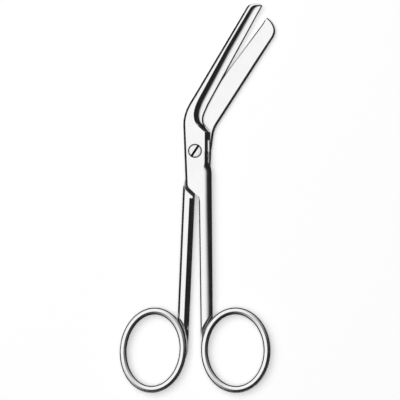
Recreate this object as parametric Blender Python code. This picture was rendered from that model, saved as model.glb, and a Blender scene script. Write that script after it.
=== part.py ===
"""Episiotomy scissors: two forged halves with angled blades, held together by one slotted joint screw.

Metres, +Z up. The scissors lie flat and slightly open. The origin is on the pivot axis, at the surface they
lie on. +Y runs from the finger rings towards the blades. The front half lies over the back half at the joint.

Each half is modelled in a frame of its own: its outer face up, its ring at -Y, its spine on the -X side and
its cutting edge on the +X side. Z = 0 is the plane where the two halves meet.
"""

from dataclasses import dataclass
from math import cos, hypot, pi, radians, sin, sqrt, tan

import bmesh
import bpy
from mathutils import Matrix

# Thicknesses, measured from the meeting plane to a half's outer face
JOINT_DEPTH = 0.00215
BLADE_TIP_DEPTH = 0.0012
TIP_END_DEPTH = 0.00075
SHANK_END_DEPTH = 0.00195
MEETING_GAP = 0.0001

# Blade section
BEVEL_ROOT_DEPTH = 0.0008
BEVEL_TIP_DEPTH = 0.0005
HONED_WIDTH = 0.0004
HONED_ROOT_DEPTH = 0.00045
HONED_TIP_DEPTH = 0.00016
HOLLOW_STEEPNESS = 0.97
HOLLOWNESS_LIMIT = 3.4
INNER_HOLLOW_DEPTH = 0.0001
INNER_EDGE_LAND = 0.0006
TIP_LAND = 0.00072
TIP_LAND_SHARE = 0.5

# Joint and shank section
EDGE_BREAK = 0.00045
EDGE_BREAK_DEPTH = 0.00034
EDGE_SHARE = 0.2
RIM_WIDTH = 0.002
RIM_SHARE = 0.4
JOINT_RIM_DEPTH = 0.00075
JOINT_RIM_KNEE_AT = 0.66
JOINT_RIM_KNEE_DROP = 0.536
SHANK_RIM_DEPTH = 0.00125
SHANK_RIM_ROUNDNESS = 1.35
INNER_FACET_WIDTH = 0.002
INNER_FACET_SHARE = 0.45
INNER_FACET_WALL = 0.0009
INNER_FACET_END_WALL = 0.0004
FACET_RUN_IN = 0.0004
FACET_MARGIN = 0.0002
JOINT_TAPER = 0.04
DIAGONAL_ANGLE = radians(43.0)
SHOULDER_CLEARANCE = 0.0011
LAP_MARGIN = 0.002
SHOULDER_STEP_REACH = 0.00002
LAP_EDGE_BREAK_RUN_IN = 0.0004
NECK_Y = -0.0172
SHANK_THINNING_START_Y = -0.010
SHANK_THINNING_END_Y = -0.061

# Heel of the blade, measured along the half's centre line from the heel's corner
HEEL_RUN = 0.0041
HEEL_UNDERCUT = 0.00038
HEEL_UNDERCUT_AT = 0.006
HEEL_UNDERCUT_REACH = 0.0048
SCOOP_RUN = 0.0105
SCOOP_EASE = 1.6

# Front half, whose blade bends towards its own cutting edge
FRONT_BEND_START = 0.0095
FRONT_BEND_ANGLE = radians(29.7)
FRONT_BLADE_LENGTH = 0.0414
FRONT_SPINE_LAG = 0.0
FRONT_ROOT_SPINE = 0.00313
FRONT_ROOT_EDGE = 0.00313
FRONT_TIP_SPINE = 0.0024
FRONT_TIP_EDGE = 0.0024
FRONT_TIP_ROUNDING = 0.0031
FRONT_BEVEL_WIDTH = 0.00423
FRONT_JOINT_SPINE = 0.00398
FRONT_JOINT_EDGE = 0.00563
FRONT_HEEL_AT = 0.0070
FRONT_DIAGONAL_Y = -0.0126
FRONT_SWELL_START_Y = -0.004
FRONT_SWELL_END_Y = -0.0085
FRONT_SHANK_TOP_WIDTH = 0.00488
FRONT_SHANK_END_WIDTH = 0.00452
FRONT_RING_HALF_WIDTH = 0.01165
FRONT_RING_TILT = radians(1.0)
FRONT_SHANK_PROUD = 0.0

# Back half, whose blade bends towards its own spine
BACK_BEND_START = -0.0002
BACK_BEND_ANGLE = radians(-34.45)
BACK_BLADE_LENGTH = 0.0451
BACK_SPINE_LAG = 0.0023
BACK_ROOT_SPINE = 0.0047
BACK_ROOT_EDGE = 0.0045
BACK_TIP_SPINE = 0.0034
BACK_TIP_EDGE = 0.00267
BACK_TIP_ROUNDING = 0.0042
BACK_BEVEL_WIDTH = 0.0051
BACK_JOINT_SPINE = 0.0061
BACK_JOINT_EDGE = 0.00355
BACK_HEEL_AT = 0.0059
BACK_DIAGONAL_Y = -0.0104
BACK_SWELL_START_Y = -0.0095
BACK_SWELL_END_Y = -0.0138
BACK_SHANK_TOP_WIDTH = 0.00455
BACK_SHANK_END_WIDTH = 0.00437
BACK_RING_HALF_WIDTH = 0.0111
BACK_RING_TILT = radians(5.9)
BACK_SHANK_PROUD = 0.00055

# Shanks and rings, shared by both halves
BEND_RADIUS = 0.020
FRONT_SHANK_INNER_X = 0.0014
SHANK_GAP = 0.00145
RING_GAP = 0.00535
FRONT_RING_NEAR_X = 0.0022
RING_CENTRE_Y = -0.0742
RING_HALF_LENGTH = 0.0146
RING_BAND_WIDTH = 0.00265
RING_BAND_THICKNESS = 0.0041
RING_CROWN = 0.00055
RING_CROWN_ROUNDNESS = 2.2
RING_JOIN_REACH = 0.009
RING_TUCK_REACH = 0.0139
RING_BLEND_ABOVE = 0.001
RING_BLEND_BELOW = 0.0058
RING_BLEND_INSET = 0.00035

# Joint screw
SCREW_HEAD_RADIUS = 0.00245
SCREW_HEAD_LAND = 0.0005
SCREW_HEAD_CROWN = 0.00016
SCREW_HEAD_CONE = 0.0007
SCREW_NECK_RADIUS = 0.0016
SCREW_THREAD_RADIUS = 0.0014
SCREW_SLOT_WIDTH = 0.0008
SCREW_SLOT_DEPTH = 0.0007
SCREW_SLOT_ANGLE = radians(-33.7)
SCREW_CLEARANCE = 0.00005
SCREW_MOUTH_WIDTH = 0.0003
SCREW_MOUTH_DEPTH = 0.0002

# Fineness of the surfaces
RING_JOIN_STEPS = 9
SHANK_STEPS = 9
FACET_RUN_IN_STEPS = 4
NECK_STEPS = 2
SWELL_STEPS = 4
JOINT_STEPS = 4
HEEL_STEPS = 6
SCOOP_STEPS = 4
BLADE_STEPS = 8
BEND_STEPS = 6
BEVEL_STEPS = 12
TIP_STEPS = 13
TIP_LAST_TURN = radians(88.0)
CLOSEST_STATIONS = 0.00004
HOLLOW_STEPS = 8
LAP_POINTS = HOLLOW_STEPS + 4
RING_STEPS = 90
RING_CROWN_SHARES = (1.0, 0.8, 0.5, 0.2, -0.2, -0.5, -0.8, -1.0)
RING_HEADING_STEP = 0.001
SCREW_STEPS = 48
SCREW_CROWN_STEPS = 5
HEADING_STEP = 0.0000002
SHARP_ANGLE = radians(28.0)


def clamp(value, low=0.0, high=1.0):
    return max(low, min(high, value))


def smooth(start, end, value):
    """0 at start, 1 at end, with level ends. start may lie above end."""
    t = clamp((value - start) / (end - start))
    return t * t * (3 - 2 * t)


def mix(a, b, share):
    return a + (b - a) * share


def spread(start, end, steps):
    """Both ends and the steps between them."""
    return [mix(start, end, i / steps) for i in range(steps + 1)]


@dataclass(frozen=True)
class Ring:
    """A finger ring's centre line: an ellipse whose top leans towards the other half."""

    x: float
    y: float
    half_width: float
    half_length: float
    tilt: float

    def point(self, turn):
        across, along = self.half_width * cos(turn), self.half_length * sin(turn)
        return (
            self.x + across * cos(self.tilt) - along * sin(self.tilt),
            self.y + across * sin(self.tilt) + along * cos(self.tilt),
        )

    def grown(self, by):
        return Ring(self.x, self.y, self.half_width + by, self.half_length + by, self.tilt)

    def near_side(self, y):
        """The X of the ellipse at a height, on the side of the other half."""
        dy = y - self.y
        c, s = cos(self.tilt), sin(self.tilt)
        wide, long = self.half_width**-2, self.half_length**-2
        a = c * c * wide + s * s * long
        b = 2 * dy * s * c * (wide - long)
        d = dy * dy * (s * s * wide + c * c * long) - 1
        return self.x - (b + sqrt(max(0.0, b * b - 4 * a * d))) / (2 * a)


def ring_beside(near_x, half_width, tilt):
    """A ring whose band's nearest side, level with the ring's centre, lies at near_x."""
    at_origin = Ring(0.0, RING_CENTRE_Y, half_width, RING_HALF_LENGTH, tilt)
    reach = at_origin.grown(RING_BAND_WIDTH / 2).near_side(RING_CENTRE_Y)
    return Ring(near_x - reach, RING_CENTRE_Y, half_width, RING_HALF_LENGTH, tilt)


@dataclass(frozen=True)
class Half:
    """The sizes in which the two halves differ."""

    name: str
    bend_start: float
    bend_angle: float
    blade_length: float
    spine_lag: float
    root_spine: float
    root_edge: float
    tip_spine: float
    tip_edge: float
    tip_rounding: float
    bevel_width: float
    joint_spine: float
    joint_edge: float
    heel_at: float
    diagonal_y: float
    swell_start: float
    swell_end: float
    shank_inner_x: float
    shank_top_width: float
    shank_end_width: float
    shank_proud: float
    ring: Ring

    @property
    def bend_end(self):
        return self.bend_start + BEND_RADIUS * abs(self.bend_angle)

    @property
    def tip(self):
        return self.bend_end + self.blade_length

    @property
    def end(self):
        return self.ring.y - RING_BLEND_BELOW

    def centre_line(self, s):
        """The point and heading at a distance s from the pivot. A positive heading turns towards +X."""
        side = 1 if self.bend_angle > 0 else -1
        turn = clamp((s - self.bend_start) / BEND_RADIUS, 0.0, abs(self.bend_angle))
        x = BEND_RADIUS * (1 - cos(turn))
        y = min(s, self.bend_start) + BEND_RADIUS * sin(turn)
        straight = max(0.0, s - self.bend_end)
        x += straight * sin(turn)
        y += straight * cos(turn)
        return side * x, y, side * turn

    def place(self, s, offset):
        """The point at an offset to the +X side of the centre line."""
        x, y, heading = self.centre_line(s)
        return x + offset * cos(heading), y - offset * sin(heading)

    def offset_of_line(self, s, line_x):
        """The offset at which the section meets a line that runs along Y."""
        x, _, heading = self.centre_line(s)
        return (line_x - x) / cos(heading)

    def joint_side(self, s):
        return -self.joint_spine - JOINT_TAPER * s

    def shank_inner(self, s):
        """The straight inner side of the shank, which runs on to the ring's nearest point."""
        ring_x = self.ring.grown(RING_BAND_WIDTH / 2).near_side(self.ring.y) - self.shank_proud
        return mix(self.shank_inner_x, ring_x, (s - NECK_Y) / (self.ring.y - NECK_Y))

    def shank_outer(self, s):
        share = (s - NECK_Y) / (self.ring.y - NECK_Y)
        return self.shank_inner(s) + mix(self.shank_top_width, self.shank_end_width, share)

    def diagonal(self, s):
        """The slanted lower edge of the joint, which runs down to the shank's inner side."""
        return self.joint_side(self.diagonal_y) + (self.diagonal_y - s) / tan(DIAGONAL_ANGLE)

    def neck(self):
        """The height at which the diagonal meets the shank's inner side."""
        across = self.shank_inner(NECK_Y) - self.joint_side(self.diagonal_y)
        return self.diagonal_y - across * tan(DIAGONAL_ANGLE)

    def shoulder(self, mate, x):
        """The height at which the lap's shoulder crosses x. It runs along the mate's diagonal, a clearance below."""
        mate_corner = -mate.joint_side(mate.diagonal_y)
        drop = SHOULDER_CLEARANCE / cos(DIAGONAL_ANGLE)
        return mate.diagonal_y - drop + (x - mate_corner) * tan(DIAGONAL_ANGLE)

    def facet_start(self, mate):
        """The facet along the shank's inner side starts below the neck and the shoulder."""
        return min(self.neck(), self.shoulder(mate, self.shank_inner(NECK_Y))) - FACET_MARGIN

    def ring_blend(self, s):
        """How far the shank has sunk into the ring's band."""
        return smooth(self.ring.y + RING_BLEND_ABOVE, self.end, s)

    def tip_fullness(self, s):
        """1 on the blade, falling to 0 over the rounded tip as a quarter of an ellipse."""
        into_tip = clamp(1 - (self.tip - s) / self.tip_rounding)
        return sqrt(1 - into_tip * into_tip)

    def spine_side(self, s):
        if s < self.diagonal_y:
            side = min(self.diagonal(s), self.shank_inner(s))
            ring_side = self.ring.grown(RING_BAND_WIDTH / 2 - RING_BLEND_INSET).near_side(s)
            return mix(side, ring_side, self.ring_blend(s))
        share = (s - self.bend_end) / self.blade_length
        blade = -mix(self.root_spine, self.tip_spine, share)
        blend = smooth(self.bend_start + self.spine_lag, self.bend_end + self.spine_lag, s)
        side = mix(self.joint_side(s), blade, blend)
        if s > self.tip - self.tip_rounding:
            side = self.edge_side(s) - (self.tip_edge - side) * self.tip_fullness(s)
        return side

    def edge_side(self, s):
        if s < self.heel_at:
            joint = self.offset_of_line(s, self.joint_edge)
            swelling = smooth(self.swell_start, self.swell_end, s)
            side = mix(joint, self.shank_outer(s), swelling)
            if s < self.ring.y + RING_TUCK_REACH:
                side = min(side, self.ring.near_side(s))
            return side
        blade = mix(self.root_edge, self.tip_edge, (s - self.bend_end) / self.blade_length)
        from_undercut = abs(s - self.heel_at - HEEL_UNDERCUT_AT) / HEEL_UNDERCUT_REACH
        blade -= HEEL_UNDERCUT * smooth(1.0, 0.0, from_undercut)
        corner = self.offset_of_line(self.heel_at, self.joint_edge)
        return mix(corner, blade, sin(clamp((s - self.heel_at) / HEEL_RUN) * pi / 2))

    def ridge(self, s):
        """The line where the flat outer face gives way to the bevel or the rounded rim."""
        left, right = self.spine_side(s), self.edge_side(s)
        width = right - left
        rim = right - min(RIM_WIDTH, RIM_SHARE * width)
        if s < self.heel_at:
            return rim
        blade = max(right - self.bevel_width, left + min(TIP_LAND, TIP_LAND_SHARE * width))
        scoop_end = self.heel_at + SCOOP_RUN
        return mix(blade, rim, clamp((scoop_end - s) / SCOOP_RUN) ** SCOOP_EASE)

    def depth(self, s):
        if s < SHANK_THINNING_START_Y:
            thinning = smooth(SHANK_THINNING_START_Y, SHANK_THINNING_END_Y, s)
            return mix(JOINT_DEPTH, SHANK_END_DEPTH, thinning) - RING_BLEND_INSET * self.ring_blend(s)
        share = clamp((s - self.heel_at) / (self.tip - self.heel_at))
        blade = mix(JOINT_DEPTH, BLADE_TIP_DEPTH, share)
        return mix(TIP_END_DEPTH, blade, self.tip_fullness(s))

    def inner_facet(self, s, facet_start, width, depth):
        """Width and lower height of what is ground off the inner edge: a broken edge, or the shank's facet."""
        edge_break = min(EDGE_BREAK, EDGE_SHARE * width)
        if s > facet_start:
            return edge_break, depth - EDGE_BREAK_DEPTH
        along = clamp((facet_start - s) / (facet_start - self.ring.y))
        low = mix(INNER_FACET_WALL, INNER_FACET_END_WALL, along)
        run_in = smooth(facet_start, facet_start - FACET_RUN_IN, s)
        return min(INNER_FACET_WIDTH, INNER_FACET_SHARE * width), mix(depth, low, run_in)

    def fall(self, s, across, hollowness):
        """How far the rim or the bevel has fallen, as a share: a two-step rim at the joint, a rounded rim on
        the shank, and a hollow on the blade."""
        if across < JOINT_RIM_KNEE_AT:
            joint = JOINT_RIM_KNEE_DROP * across / JOINT_RIM_KNEE_AT
        else:
            joint = mix(JOINT_RIM_KNEE_DROP, 1, (across - JOINT_RIM_KNEE_AT) / (1 - JOINT_RIM_KNEE_AT))
        swelling = smooth(self.swell_start, self.swell_end, s)
        rim = mix(joint, across**SHANK_RIM_ROUNDNESS, swelling)
        hollow = 1 - (1 - across) ** hollowness
        return mix(rim, hollow, smooth(self.heel_at, self.heel_at + HEEL_RUN, s))

    def section(self, s, facet_start):
        """Offsets and heights round a section: over the outer face, and back along the face towards the mate."""
        left, right, ridge = self.spine_side(s), self.edge_side(s), self.ridge(s)
        width, depth = right - left, self.depth(s)
        blade = smooth(self.heel_at, self.heel_at + HEEL_RUN, s)
        rim_depth = mix(JOINT_RIM_DEPTH, SHANK_RIM_DEPTH, smooth(self.swell_start, self.swell_end, s))
        along = clamp((s - self.heel_at) / (self.tip - self.heel_at))
        low = mix(rim_depth, mix(BEVEL_ROOT_DEPTH, BEVEL_TIP_DEPTH, along), blade)
        edge = mix(rim_depth - EDGE_BREAK_DEPTH, mix(HONED_ROOT_DEPTH, HONED_TIP_DEPTH, along), blade)
        edge_break = min(EDGE_BREAK, EDGE_SHARE * width)
        bevel_end = right - min(mix(EDGE_BREAK, HONED_WIDTH, blade), EDGE_SHARE * width)
        hollowness = clamp(HOLLOW_STEEPNESS * (bevel_end - ridge) / (depth - low), 1.0, HOLLOWNESS_LIMIT)
        outer = [(left, depth - EDGE_BREAK_DEPTH), (left + edge_break, depth)]
        outer.append(((left + edge_break + ridge) / 2, depth))
        for i in range(BEVEL_STEPS + 1):
            across = sin(i / BEVEL_STEPS * pi / 2)
            fallen = self.fall(s, across, hollowness)
            outer.append((mix(ridge, bevel_end, across), mix(depth, low, fallen)))
        outer.append((right, edge))
        facet_width, facet_wall = self.inner_facet(s, facet_start, width, depth)
        inner = [(left, facet_wall), (left + facet_width, depth)]
        inner += [(right - edge_break, depth), (right, depth - EDGE_BREAK_DEPTH)]
        return outer + [(offset, -height) for offset, height in reversed(inner)]

    def stations(self, facet_start):
        """Distances along the centre line at which the outline or the section changes, from the ring to the tip."""
        tip_start = self.tip - self.tip_rounding
        ring_join = self.ring.y + RING_JOIN_REACH
        heel_end, scoop_end = self.heel_at + HEEL_RUN, self.heel_at + SCOOP_RUN
        found = spread(self.end, ring_join, RING_JOIN_STEPS)
        found += spread(ring_join, facet_start - FACET_RUN_IN, SHANK_STEPS)
        found += spread(facet_start - FACET_RUN_IN, facet_start, FACET_RUN_IN_STEPS)
        found += spread(self.neck(), self.diagonal_y, NECK_STEPS)
        found += spread(self.swell_end, self.swell_start, SWELL_STEPS)
        found += spread(self.diagonal_y, self.heel_at, JOINT_STEPS)
        found += spread(self.heel_at, heel_end, HEEL_STEPS)
        found += spread(heel_end, scoop_end, SCOOP_STEPS)
        found += spread(scoop_end, tip_start, BLADE_STEPS)
        found += spread(self.bend_start, self.bend_end, BEND_STEPS)
        found += [tip_start + self.tip_rounding * sin(a) for a in spread(0, TIP_LAST_TURN, TIP_STEPS)]
        found.append(facet_start + FACET_MARGIN)
        kept = []
        for s in sorted(found):
            if not kept or s - kept[-1] > CLOSEST_STATIONS:
                kept.append(s)
        return kept


def closed_mesh(name, sections, flat_ends):
    """A mesh through closed sections. Ends that aren't flat are closed in strips, from each point to the one
    below it."""
    mesh = bpy.data.meshes.new(name)
    vertices = [point for section in sections for point in section]
    n = len(sections[0])
    faces = []
    for i in range(len(sections) - 1):
        for j in range(n):
            k = (j + 1) % n
            faces.append((i * n + j, i * n + k, (i + 1) * n + k, (i + 1) * n + j))
    for start in (0, (len(sections) - 1) * n):
        if flat_ends:
            faces.append(tuple(range(start, start + n)))
            continue
        for j in range(n // 2 - 1):
            faces.append((start + j, start + j + 1, start + n - 2 - j, start + n - 1 - j))
    mesh.from_pydata(vertices, [], faces)
    outward(mesh)
    return mesh


def outward(mesh):
    """Turns every face of a closed mesh to point out."""
    work = bmesh.new()
    work.from_mesh(mesh)
    bmesh.ops.recalc_face_normals(work, faces=work.faces)
    work.to_mesh(mesh)
    work.free()


def forging(half, mate):
    """Blade, joint and shank as one forging, before the lap joint is milled."""
    sections = []
    facet_start = half.facet_start(mate)
    for s in half.stations(facet_start):
        section = half.section(s, facet_start)
        sections.append([(*half.place(s, offset), height) for offset, height in section])
    return closed_mesh(half.name + "_forging", sections, flat_ends=True)


def band_section():
    """Distances from the band's centre line and heights: crowned above and below, with upright sides."""
    crown = [
        (share * RING_BAND_WIDTH / 2, RING_BAND_THICKNESS / 2 - RING_CROWN * abs(share) ** RING_CROWN_ROUNDNESS)
        for share in RING_CROWN_SHARES
    ]
    return crown + [(across, -height) for across, height in reversed(crown)]


def finger_ring(half):
    """The ring's band: its section carried round the ellipse."""
    ring = half.ring
    section = band_section()
    work = bmesh.new()
    loops = []
    for i in range(RING_STEPS):
        turn = 2 * pi * i / RING_STEPS
        x, y = ring.point(turn)
        ahead, behind = ring.point(turn + RING_HEADING_STEP), ring.point(turn - RING_HEADING_STEP)
        run_x, run_y = ahead[0] - behind[0], ahead[1] - behind[1]
        size = hypot(run_x, run_y)
        out_x, out_y = run_y / size, -run_x / size
        loops.append([work.verts.new((x + out_x * across, y + out_y * across, z)) for across, z in section])
    for i in range(RING_STEPS):
        here, there = loops[i], loops[(i + 1) % RING_STEPS]
        for j in range(len(section)):
            k = (j + 1) % len(section)
            work.faces.new((here[j], there[j], there[k], here[k]))
    mesh = bpy.data.meshes.new(half.name + "_ring")
    work.to_mesh(mesh)
    work.free()
    outward(mesh)
    return mesh


def lap_cut(half, mate):
    """What is milled away on the inner side: all of the joint and blade below the meeting plane, down to a
    shoulder that runs along the mate's diagonal edge. Its upper surface also hollows the blade's inner face and
    breaks the edges of the spine, the tip and the shoulder. Its sections lie between the forging's, so that no
    edge of one lies on an edge of the other."""
    start = half.swell_start / 2
    stations = [s for s in half.stations(half.facet_start(mate)) if s > start + LAP_EDGE_BREAK_RUN_IN]
    sections = shoulder_sections(half, mate)
    sections.append(lap_section(half, (start, half.spine_side(start)), (0.0, -1.0), half.edge_side(start), 0.0))
    for low, high in zip(stations, stations[1:]):
        s = (low + high) / 2
        spine, edge = half.spine_side(s), half.edge_side(s)
        lean = (half.spine_side(s + HEADING_STEP) - half.spine_side(s - HEADING_STEP)) / (2 * HEADING_STEP)
        out = (lean / hypot(lean, 1), -1 / hypot(lean, 1))
        sections.append(lap_section(half, (s, spine), out, edge, 1.0))
    edge = half.edge_side(half.tip)
    for beyond in (0.0, LAP_MARGIN):
        corner = (half.tip + beyond, edge + beyond)
        sections.append(lap_section(half, corner, (1.0, 0.0), edge + beyond + LAP_MARGIN, 1.0))
    return closed_mesh(half.name + "_lap", sections, flat_ends=False)


def lap_section(half, outline, out, edge, broken):
    """One section of the lap cut. outline is a distance and offset on the spine side or the tip, and out points
    away from the blade there. broken is 1 where the edge is broken and 0 where it isn't."""
    floor = MEETING_GAP / 2
    inset = EDGE_BREAK * broken
    s, offset = outline[0] - out[0] * inset, outline[1] - out[1] * inset
    reach = LAP_MARGIN + inset
    rise = reach * broken * EDGE_BREAK_DEPTH / EDGE_BREAK
    beyond = half.place(s + out[0] * reach, offset + out[1] * reach)
    top = [(*beyond, floor + rise), (*half.place(s, offset), floor)]
    hollow_start = half.heel_at + SCOOP_RUN
    hollow_end = half.tip - half.tip_rounding
    share = smooth(hollow_start, hollow_start + SCOOP_RUN, s)
    share *= 1 - smooth(hollow_end, half.tip - EDGE_BREAK, s)
    land = min(INNER_EDGE_LAND, EDGE_SHARE * (edge - offset))
    for across in spread(0, 1, HOLLOW_STEPS):
        place = half.place(s, mix(offset + land, edge - land, across))
        top.append((*place, floor + INNER_HOLLOW_DEPTH * share * 4 * across * (1 - across)))
    top.append((*half.place(s, edge + LAP_MARGIN), floor))
    return top + [(x, y, -2 * JOINT_DEPTH) for x, y, _ in reversed(top)]


def shoulder_sections(half, mate):
    """The lap cut's end: the broken edge of the shoulder, carried as far again past the surface that it breaks,
    and the upright wall. Each section gives how far its upper and lower lines lie below the shoulder in plan."""
    line = shoulder_line(half, mate)
    mouth = EDGE_BREAK / cos(DIAGONAL_ANGLE)
    sections = []
    for back, height, foot in (
        (2 * mouth, -JOINT_DEPTH - EDGE_BREAK_DEPTH, 2 * mouth),
        (0.0, EDGE_BREAK_DEPTH - JOINT_DEPTH, 0.0),
        (0.0, MEETING_GAP / 2, -mouth),
    ):
        top = [(x, y - back, height) for x, y in line]
        sections.append(top + [(x, y - foot, -2 * JOINT_DEPTH) for x, y in reversed(line)])
    return sections


def shoulder_line(half, mate):
    """The shoulder in plan. On the inner side of the shank it drops to the neck, clear of the mate."""
    inner = half.shank_inner(NECK_Y)
    xs = [-half.joint_spine - LAP_MARGIN]
    xs += spread(inner - LAP_MARGIN, inner - SHOULDER_STEP_REACH, 2)
    line = [(x, min(half.shoulder(mate, x), half.neck())) for x in xs]
    last_x = half.joint_edge + LAP_MARGIN
    for x in spread(inner + SHOULDER_STEP_REACH, last_x, LAP_POINTS - len(xs) - 1):
        line.append((x, half.shoulder(mate, x)))
    return line


def turned(name, profile, steps):
    """A solid turned round Z from (radius, height) points. The first and last points lie on the axis."""
    work = bmesh.new()
    foot = work.verts.new((0, 0, profile[0][1]))
    head = work.verts.new((0, 0, profile[-1][1]))
    rows = []
    for radius, height in profile[1:-1]:
        turns = [2 * pi * i / steps for i in range(steps)]
        rows.append([work.verts.new((radius * cos(a), radius * sin(a), height)) for a in turns])
    for i in range(steps):
        k = (i + 1) % steps
        work.faces.new((foot, rows[0][k], rows[0][i]))
        work.faces.new((head, rows[-1][i], rows[-1][k]))
        for low, high in zip(rows, rows[1:]):
            work.faces.new((low[i], low[k], high[k], high[i]))
    mesh = bpy.data.meshes.new(name)
    work.to_mesh(mesh)
    work.free()
    outward(mesh)
    return mesh


def screw_profile(grow, foot, top):
    """The screw's outline from its foot, through the threaded part, neck and cone, to the head. grow is a
    clearance, and top gives the points from the head's side to the axis."""
    face = 2 * JOINT_DEPTH
    land = face - SCREW_HEAD_LAND - grow
    cone = land - SCREW_HEAD_CONE
    seat = JOINT_DEPTH - MEETING_GAP / 2
    head, neck, thread = (
        radius + grow for radius in (SCREW_HEAD_RADIUS, SCREW_NECK_RADIUS, SCREW_THREAD_RADIUS)
    )
    lower = [(0, foot), (thread, foot), (thread, seat), (neck, seat + grow)]
    return lower + [(neck, cone), (head, land)] + top(head, face)


def crowned_top(head, face):
    """A low crown on the head."""
    angles = spread(0, pi / 2, SCREW_CROWN_STEPS)
    crown = [(head * cos(a), face + SCREW_HEAD_CROWN * sin(a)) for a in angles]
    return crown[:-1] + [(0, face + SCREW_HEAD_CROWN)]


def open_top(head, face):
    """A hole with a broken edge that runs out past the outer face."""
    mouth, above = head + SCREW_MOUTH_WIDTH, face + JOINT_DEPTH
    return [(head, face - SCREW_MOUTH_DEPTH), (mouth, face), (mouth, above), (0, above)]


def steel(name, value, roughness):
    material = bpy.data.materials.new(name)
    material.use_nodes = True
    shader = material.node_tree.nodes["Principled BSDF"]
    shader.inputs["Base Color"].default_value = (value, value, value * 1.01, 1)
    shader.inputs["Metallic"].default_value = 1.0
    shader.inputs["Roughness"].default_value = roughness
    return material


def add(name, mesh, material=None, parent=None):
    """An object in the scene. One without a material is a helper, and isn't rendered."""
    mesh.shade_smooth()
    mesh.set_sharp_from_angle(angle=SHARP_ANGLE)
    shape = bpy.data.objects.new(name, mesh)
    bpy.context.scene.collection.objects.link(shape)
    if material:
        mesh.materials.append(material)
    else:
        shape.hide_render = True
        shape.display_type = "WIRE"
    if parent:
        shape.parent = parent
    return shape


def combine(shape, other, operation):
    modifier = shape.modifiers.new(other.name, "BOOLEAN")
    modifier.operation = operation
    modifier.object = other
    modifier.solver = "EXACT"


def build_half(half, mate, placing, hole, material):
    """One half: the forging with its lap milled away, its ring joined on and its screw hole drilled."""
    shape = add(half.name, forging(half, mate), material)
    shape.matrix_world = placing
    combine(shape, add(half.name + "_lap", lap_cut(half, mate), parent=shape), "DIFFERENCE")
    combine(shape, add(half.name + "_ring", finger_ring(half), parent=shape), "UNION")
    combine(shape, hole, "DIFFERENCE")
    return shape


def build_screw(material):
    solid = turned("joint_screw", screw_profile(0.0, 0.0, crowned_top), SCREW_STEPS)
    screw = add("joint_screw", solid, material)
    bpy.ops.mesh.primitive_cube_add(size=1)
    slot = bpy.context.object
    slot.name = "screw_slot"
    height = SCREW_SLOT_DEPTH + 2 * JOINT_DEPTH
    length = 2 * SCREW_HEAD_RADIUS + LAP_MARGIN
    slot.data.transform(Matrix.Diagonal((SCREW_SLOT_WIDTH, length, height, 1)))
    slot.location = (0, 0, 2 * JOINT_DEPTH - SCREW_SLOT_DEPTH + height / 2)
    slot.rotation_euler = (0, 0, SCREW_SLOT_ANGLE)
    slot.hide_render = True
    slot.display_type = "WIRE"
    combine(screw, slot, "DIFFERENCE")
    return screw


FRONT = Half(
    name="front_half",
    bend_start=FRONT_BEND_START,
    bend_angle=FRONT_BEND_ANGLE,
    blade_length=FRONT_BLADE_LENGTH,
    spine_lag=FRONT_SPINE_LAG,
    root_spine=FRONT_ROOT_SPINE,
    root_edge=FRONT_ROOT_EDGE,
    tip_spine=FRONT_TIP_SPINE,
    tip_edge=FRONT_TIP_EDGE,
    tip_rounding=FRONT_TIP_ROUNDING,
    bevel_width=FRONT_BEVEL_WIDTH,
    joint_spine=FRONT_JOINT_SPINE,
    joint_edge=FRONT_JOINT_EDGE,
    heel_at=FRONT_HEEL_AT,
    diagonal_y=FRONT_DIAGONAL_Y,
    swell_start=FRONT_SWELL_START_Y,
    swell_end=FRONT_SWELL_END_Y,
    shank_inner_x=FRONT_SHANK_INNER_X,
    shank_top_width=FRONT_SHANK_TOP_WIDTH,
    shank_end_width=FRONT_SHANK_END_WIDTH,
    shank_proud=FRONT_SHANK_PROUD,
    ring=ring_beside(FRONT_RING_NEAR_X, FRONT_RING_HALF_WIDTH, FRONT_RING_TILT),
)

BACK = Half(
    name="back_half",
    bend_start=BACK_BEND_START,
    bend_angle=BACK_BEND_ANGLE,
    blade_length=BACK_BLADE_LENGTH,
    spine_lag=BACK_SPINE_LAG,
    root_spine=BACK_ROOT_SPINE,
    root_edge=BACK_ROOT_EDGE,
    tip_spine=BACK_TIP_SPINE,
    tip_edge=BACK_TIP_EDGE,
    tip_rounding=BACK_TIP_ROUNDING,
    bevel_width=BACK_BEVEL_WIDTH,
    joint_spine=BACK_JOINT_SPINE,
    joint_edge=BACK_JOINT_EDGE,
    heel_at=BACK_HEEL_AT,
    diagonal_y=BACK_DIAGONAL_Y,
    swell_start=BACK_SWELL_START_Y,
    swell_end=BACK_SWELL_END_Y,
    shank_inner_x=SHANK_GAP - FRONT_SHANK_INNER_X,
    shank_top_width=BACK_SHANK_TOP_WIDTH,
    shank_end_width=BACK_SHANK_END_WIDTH,
    shank_proud=BACK_SHANK_PROUD,
    ring=ring_beside(RING_GAP - FRONT_RING_NEAR_X, BACK_RING_HALF_WIDTH, BACK_RING_TILT),
)


def main():
    for shape in list(bpy.data.objects):
        bpy.data.objects.remove(shape)

    polished = steel("instrument_steel", 0.78, 0.18)
    bright = steel("screw_steel", 0.74, 0.24)

    hole_profile = screw_profile(SCREW_CLEARANCE, -JOINT_DEPTH, open_top)
    hole = add("screw_hole", turned("screw_hole", hole_profile, SCREW_STEPS))

    meeting_plane = Matrix.Translation((0, 0, JOINT_DEPTH))
    build_half(FRONT, BACK, meeting_plane, hole, polished)
    build_half(BACK, FRONT, meeting_plane @ Matrix.Rotation(pi, 4, "Y"), hole, polished)
    build_screw(bright)


main()
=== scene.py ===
"""Episiotomy scissors in polished stainless steel, lying slightly open on a pale floor, seen from above."""

from dataclasses import dataclass
from math import cos, hypot, pi, radians, sin, sqrt, tan

import bmesh
import bpy
import numpy as np
from mathutils import Matrix, Vector


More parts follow.
